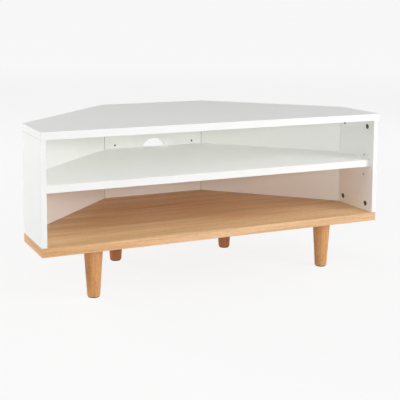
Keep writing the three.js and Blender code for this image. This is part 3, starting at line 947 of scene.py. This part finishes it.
def make_insert(node):
    """A sleeve with a coarse thread outside and a thin flange under the base."""
    low, high = box_of(node)
    length = high.z - low.z
    radius = INSERT_DIAMETER / 2
    bore_radius = HANGER_BOLT_BORE / 2
    thread_range = (INSERT_FLANGE_THICKNESS, length)
    sculpt = spiral(radius, *thread_range, INSERT_THREAD_PITCH, INSERT_THREAD_DEPTH)
    outline = [
        (bore_radius, 0),
        (INSERT_FLANGE_DIAMETER / 2, 0),
        (INSERT_FLANGE_DIAMETER / 2, INSERT_FLANGE_THICKNESS),
        *stretch(radius, *thread_range, INSERT_THREAD_PITCH),
        (bore_radius, length),
        (bore_radius, 0),
    ]
    piece = to_object("detailed_" + node, turned(outline, THREAD_SIDES, sculpt), finishes["zinc"])
    put_in_place(piece, node, upright(node, low.z))


def make_dowel(node):
    """A fluted dowel with chamfered ends."""
    low, high = box_of(node)
    length = high.z - low.z
    radius = DOWEL_DIAMETER / 2

    def sculpt(reach, height, turn):
        flute = (1 - math.cos(DOWEL_FLUTES * turn)) / 2
        return reach - DOWEL_FLUTE_DEPTH * flute if reach == radius else reach

    outline = [
        (0, 0),
        (radius - DOWEL_CHAMFER, 0),
        (radius, DOWEL_CHAMFER),
        (radius, length - DOWEL_CHAMFER),
        (radius - DOWEL_CHAMFER, length),
        (0, length),
    ]
    dowel = turned(outline, SIDES_PER_FLUTE * DOWEL_FLUTES, sculpt)
    piece = to_object("detailed_" + node, dowel, finishes["beech"])
    put_in_place(piece, node, upright(node, low.z))


def make_cam_bolt(node):
    """Wood thread in the board, then collar, shank, neck and round head in the wall."""
    head_end = CAM_FROM_WALL_END + CAM_BOLT_HEAD_LENGTH / 2
    head_start = head_end - CAM_BOLT_HEAD_LENGTH
    neck_start = head_start - CAM_BOLT_NECK_LENGTH
    head_radius = CAM_BOLT_HEAD_DIAMETER / 2
    thread_radius = CAM_BOLT_THREAD_DIAMETER / 2
    thread_range = (-SEAT_GAP, CAM_BOLT_THREAD_LENGTH)
    sculpt = spiral(thread_radius, *thread_range, CAM_BOLT_THREAD_PITCH, CAM_BOLT_THREAD_DEPTH)
    outline = [
        *softened([
            (0, -head_end),
            (head_radius, -head_end, head_radius / 2),
            (head_radius, -head_start, HAIR_ROUNDING),
            (CAM_BOLT_NECK_DIAMETER / 2, -head_start),
            (CAM_BOLT_NECK_DIAMETER / 2, -neck_start),
            (CAM_BOLT_SHANK_DIAMETER / 2, -neck_start, HAIR_ROUNDING),
            (CAM_BOLT_SHANK_DIAMETER / 2, -CAM_BOLT_COLLAR_LENGTH),
            (CAM_BOLT_COLLAR_DIAMETER / 2, -CAM_BOLT_COLLAR_LENGTH, HAIR_ROUNDING),
            (CAM_BOLT_COLLAR_DIAMETER / 2, -SEAT_GAP),
        ]),
        *stretch(thread_radius, *thread_range, CAM_BOLT_THREAD_PITCH),
        (0, CAM_BOLT_THREAD_LENGTH),
    ]
    piece = to_object("detailed_" + node, turned(outline, THREAD_SIDES, sculpt), finishes["steel"])
    wall_low, wall_high = box_of("left_side_panel")
    if node.endswith("top"):
        put_in_place(piece, node, upright(node, wall_high.z))
    else:
        put_in_place(piece, node, upright(node, wall_low.z) @ Matrix.Rotation(math.pi, 4, "X"))


def make_cam_lock(node):
    """A cam with a raised rim, a tapered cross for the screwdriver and a pocket for its bolt's head."""
    low, high = box_of(node)
    panel_low, panel_high = box_of("left_side_panel")
    radius = CAM_DIAMETER / 2
    thickness = high.x - low.x
    outline = softened([
        (0, -thickness),
        (radius, -thickness, HAIR_ROUNDING),
        (radius, 0, HAIR_ROUNDING),
        (radius - CAM_RIM_WIDTH, 0, HAIR_ROUNDING),
        (radius - CAM_RIM_WIDTH - CAM_FACE_DEPTH, -CAM_FACE_DEPTH, HAIR_ROUNDING),
        (0, -CAM_FACE_DEPTH),
    ])
    piece = to_object("detailed_" + node, turned(outline, SMALL_SIDES), finishes["zinc"])
    cross = tapered_cross(CAM_CROSS_LENGTH, CAM_CROSS_WIDTH, CAM_CROSS_DEPTH)
    pocket_depth = CAM_BOLT_HEAD_LENGTH / 2 + SEAT_GAP
    pocket = turned([
        (0, -pocket_depth),
        (CAM_POCKET_DIAMETER / 2, -pocket_depth),
        (CAM_POCKET_DIAMETER / 2, CAM_DIAMETER),
        (0, CAM_DIAMETER),
    ], THREAD_SIDES)
    bmesh.ops.rotate(pocket, verts=pocket.verts, matrix=Matrix.Rotation(math.pi / 2, 3, "Y"))
    # The bolt stands in the middle of the board
    bolt_depth = box_of("cam_lock_left_front_top")[1].x - middle_of("left_side_panel").x
    bmesh.ops.translate(pocket, verts=pocket.verts, vec=(0, 0, -bolt_depth))
    tools = [to_object("cross", cross, finishes["zinc"]), to_object("pocket", pocket, finishes["zinc"])]
    carve(piece, tools, "DIFFERENCE")
    front = Vector((1, 0, 0)) if middle_of(node).x < 0 else Vector((-1, 0, 0))
    at_top = node.endswith("top")
    up = Vector((0, 0, 1 if at_top else -1))
    height = panel_high.z - CAM_FROM_WALL_END if at_top else panel_low.z + CAM_FROM_WALL_END
    face_x = high.x if front.x > 0 else low.x
    put_in_place(piece, node, facing(front, up, (face_x, middle_of(node).y, height)))


def make_shelf_peg(node, wall):
    """A pin with a rounded tip, a thin flange and a flat tongue with rounded corners."""
    pin_radius = PEG_DIAMETER / 2
    flange_radius = PEG_FLANGE_DIAMETER / 2
    flange_front = PEG_FLANGE_GAP + PEG_FLANGE_THICKNESS
    pin = turned(softened([
        (0, -PEG_LENGTH),
        (pin_radius, -PEG_LENGTH, pin_radius / 2),
        (pin_radius, PEG_FLANGE_GAP),
        (flange_radius, PEG_FLANGE_GAP),
        (flange_radius, flange_front, PEG_FLANGE_GAP),
        (0, flange_front),
    ]), SMALL_SIDES)
    half_width = PEG_TONGUE_WIDTH / 2
    tongue_end = PEG_FLANGE_GAP + PEG_TONGUE_LENGTH
    tongue = slab(softened([
        (-half_width, PEG_FLANGE_GAP),
        (half_width, PEG_FLANGE_GAP),
        (half_width, tongue_end, PEG_TONGUE_ROUNDING),
        (-half_width, tongue_end, PEG_TONGUE_ROUNDING),
    ]), -PEG_TONGUE_DROP - PEG_TONGUE_THICKNESS, -PEG_TONGUE_DROP)
    piece = to_object("detailed_" + node, pin, finishes["steel"])
    carve(piece, [to_object("tongue", tongue, finishes["steel"])], "UNION")
    low, high = box_of(wall)
    middle = middle_of(node)
    if wall == "back_panel":
        front, place = Vector((0, -1, 0)), (middle.x, low.y, peg_row_height())
    elif middle.x < 0:
        front, place = Vector((1, 0, 0)), (high.x, middle.y, peg_row_height())
    else:
        front, place = Vector((-1, 0, 0)), (low.x, middle.y, peg_row_height())
    put_in_place(piece, node, facing(front, Vector((0, 0, 1)), place))


# The boards

def round_edges(piece):
    """Welds the solid's faces, joins its flat ones and rounds its sharp edges."""
    weld = piece.modifiers.new("weld", "WELD")
    weld.merge_threshold = WELD_REACH
    flats = piece.modifiers.new("flats", "DECIMATE")
    flats.decimate_type = "DISSOLVE"
    flats.angle_limit = FLAT_ANGLE
    bevel = piece.modifiers.new("rounding", "BEVEL")
    bevel.width = BOARD_ROUNDING
    bevel.segments = ROUNDING_STEPS
    bevel.limit_method = "ANGLE"
    bevel.angle_limit = SHARP_ANGLE
    bevel.use_clamp_overlap = False
    bevel.harden_normals = True


def finish_boards():
    """The boards keep their CAD solids, with rounded edges and their own finishes."""
    side = white_lacquer("white_side_panel", (side_peg_holes, side_panel_ends_and_foot_shade))
    rear = white_lacquer("white_rear_panel", (rear_panel_ends_and_foot_shade,))
    walls = {
        "left_side_panel": side,
        "left_rear_panel": rear,
        "back_panel": white_lacquer("white_back_panel", (back_peg_holes, back_panel_ends_and_foot_shade)),
        "right_rear_panel": rear,
        "right_side_panel": side,
    }
    for node, slot in slot_of.items():
        if slot in ("white_board", "oak_board"):
            piece = frame["nodes"][node]
            piece.material_slots[0].material = walls.get(node, finishes[slot])
            round_edges(piece)


# The scene

bpy.context.scene.view_settings.view_transform = "Standard"
bpy.context.scene.cycles.diffuse_bounces = LIGHT_BOUNCES
bpy.context.scene.cycles.max_bounces = LIGHT_BOUNCES
add_camera()
add_world()
add_floor()
for lamp in LAMPS:
    add_lamp(*lamp)

slot_of = {part["node"]: part["material_slot"] for part in frame["record"]["subparts"]}
bodies = frame["record"]["behaviour"]["bodies"]
body_of = {node: body for body, nodes in bodies.items() for node in nodes}
finishes = {
    "white_board": white_lacquer("white_board"),
    "oak_board": wood("oak_board", board_grain, BOARD_OAK_TONES, **BOARD_OAK),
    "solid_oak": wood("solid_oak", turned_grain, LEG_OAK_TONES, **LEG_OAK),
    "shaded_rear_leg_oak": wood("shaded_rear_leg_oak", turned_grain, SHADED_REAR_LEG_OAK_TONES, **LEG_OAK),
    "beech": wood("beech", turned_grain, BEECH_TONES, **BEECH),
    "zinc": mottled("zinc", ZINC_TONES, **ZINC),
    "steel": mottled("steel", STEEL_TONES, **STEEL),
    "dark_plastic": mottled("dark_plastic", PLASTIC_TONES, **PLASTIC),
}
finish_boards()
for i, corner in enumerate(("front_left", "front_right", "rear_right", "rear_left")):
    make_leg("leg_" + corner, i)
    make_glide("glide_" + corner)
    make_hanger_bolt("hanger_bolt_" + corner)
    make_insert("threaded_insert_" + corner)
for node in slot_of:
    if node.startswith("cam_lock_"):
        make_cam_lock(node)
    if node.startswith("cam_bolt_"):
        make_cam_bolt(node)
    if node.startswith("dowel_"):
        make_dowel(node)
for side in ("left", "right"):
    make_shelf_peg("shelf_peg_" + side, side + "_side_panel")
    make_shelf_peg("shelf_peg_back_" + side, "back_panel")
